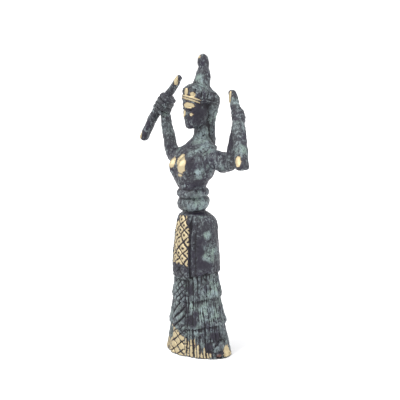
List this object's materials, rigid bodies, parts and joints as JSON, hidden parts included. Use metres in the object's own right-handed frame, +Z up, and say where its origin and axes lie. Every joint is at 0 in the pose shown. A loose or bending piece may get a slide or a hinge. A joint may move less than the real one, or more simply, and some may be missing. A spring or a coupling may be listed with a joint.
{
  "type": "snake goddess statue",
  "caption": "Small cast bronze figurine of a woman in a tiered pleated skirt, closed bodice and knobbed cap, holding up a snake in each raised hand.",
  "frame": {"origin": "centre of the flat underside of the skirt hem", "axes": "+Z up the figure, -Y the way it faces, +X its left side"},
  "size_m": [0.0714, 0.0237, 0.12],
  "materials": {
    "patinated_bronze": "cast bronze with a dark purple-black oxide, grey-green verdigris in the hollows and bare brassy high points"
  },
  "bodies": {
    "root": {"snake_goddess_figure": "patinated_bronze"}
  },
  "joints": []
}
